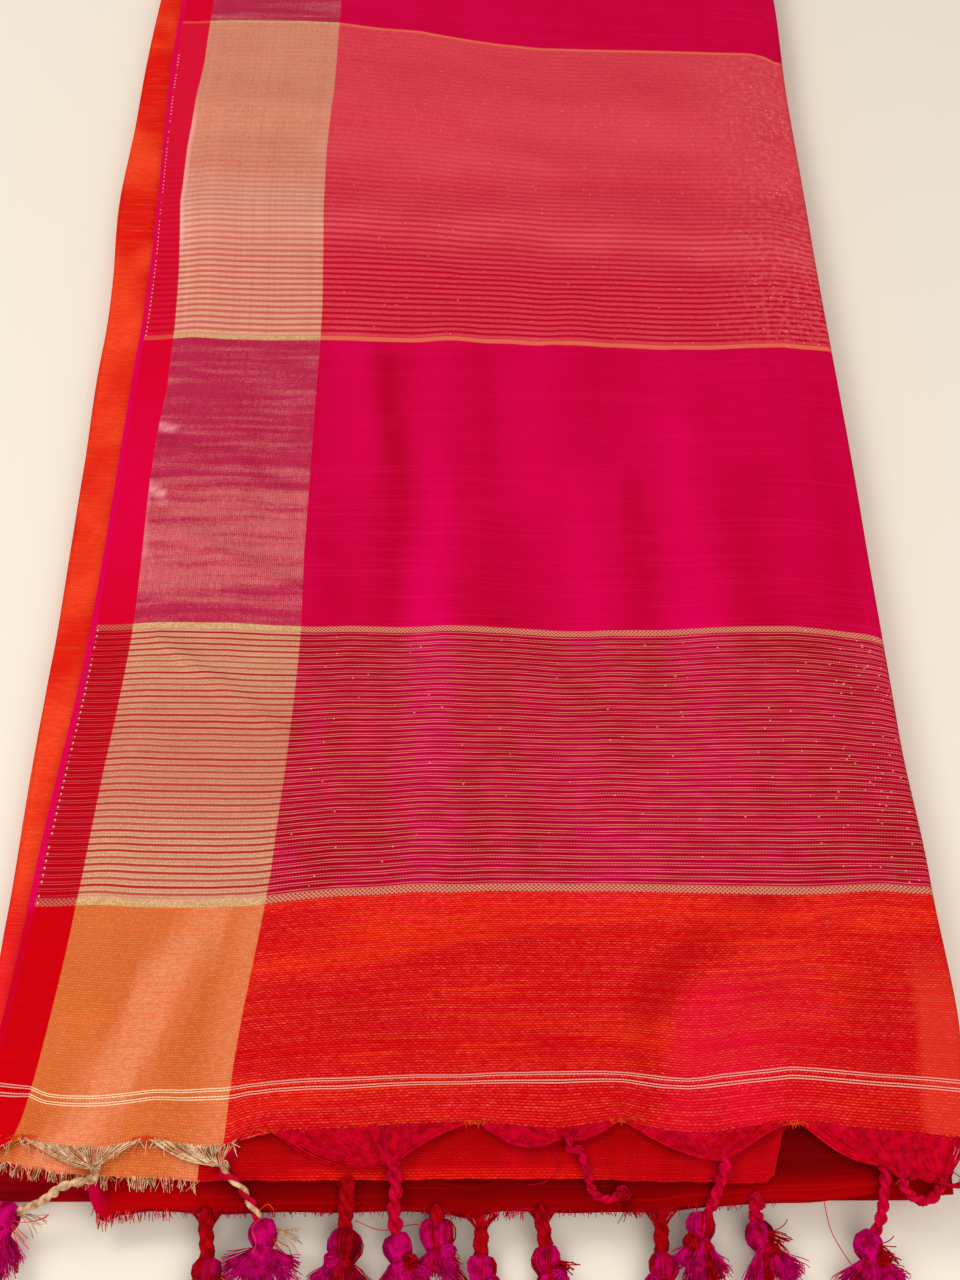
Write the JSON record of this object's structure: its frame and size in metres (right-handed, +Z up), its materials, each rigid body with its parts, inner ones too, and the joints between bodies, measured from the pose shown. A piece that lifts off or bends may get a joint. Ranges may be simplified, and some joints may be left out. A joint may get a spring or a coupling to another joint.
{
  "type": "folded saree",
  "caption": "Folded cotton and silk saree lying flat, with its decorated end on top, gold-thread borders, striped bands and knotted cord tassels along the near end.",
  "frame": {"origin": "centre of the bounding box at the surface that the saree lies on", "axes": "+Y away from the tassels along the folded cloth, +X to the right across it, +Z up"},
  "size_m": [0.3156, 0.7376, 0.0212],
  "materials": {
    "pallu_top": "magenta cotton-silk with gold-thread border and stripes",
    "pallu_second": "red cotton-silk with gold-thread border",
    "pallu_third": "deep red cotton-silk",
    "folded_body": "orange-red slubbed cotton-silk",
    "tassel_top_1": "gold and pink cotton cord with a fluffy end",
    "tassel_top_2": "gold and pink cotton cord with a fluffy end",
    "tassel_top_3": "magenta twisted cord with a fluffy purple end",
    "tassel_top_4": "magenta twisted cord with a fluffy purple end",
    "tassel_top_5": "magenta twisted cord with a fluffy purple end",
    "tassel_top_6": "magenta twisted cord with a fluffy purple end",
    "tassel_top_7": "deep red twisted cord with a fluffy end",
    "tassel_lower_1": "deep red twisted cord with a fluffy end",
    "tassel_lower_2": "deep red twisted cord with a fluffy end",
    "tassel_lower_3": "deep red twisted cord with a fluffy end",
    "tassel_lower_4": "deep red twisted cord with a fluffy end",
    "tassel_lower_5": "deep red twisted cord with a fluffy end",
    "tassel_lower_6": "deep red twisted cord with a fluffy end",
    "tassel_lower_7": "magenta twisted cord with a fluffy purple end",
    "fringe_border": "short cut threads at the cloth's end",
    "fringe_lower_left": "short cut threads at the cloth's end",
    "fringe_lower_middle": "short cut threads at the cloth's end"
  },
  "bodies": {
    "root": {"pallu_top": "pallu_top", "pallu_second": "pallu_second", "pallu_third": "pallu_third", "folded_body": "folded_body", "tassel_top_1": "tassel_top_1", "tassel_top_2": "tassel_top_2", "tassel_top_3": "tassel_top_3", "tassel_top_4": "tassel_top_4", "tassel_top_5": "tassel_top_5", "tassel_top_6": "tassel_top_6", "tassel_top_7": "tassel_top_7", "tassel_lower_1": "tassel_lower_1", "tassel_lower_2": "tassel_lower_2", "tassel_lower_3": "tassel_lower_3", "tassel_lower_4": "tassel_lower_4", "tassel_lower_5": "tassel_lower_5", "tassel_lower_6": "tassel_lower_6", "tassel_lower_7": "tassel_lower_7", "fringe_border": "fringe_border", "fringe_lower_left": "fringe_lower_left", "fringe_lower_middle": "fringe_lower_middle"}
  },
  "joints": []
}
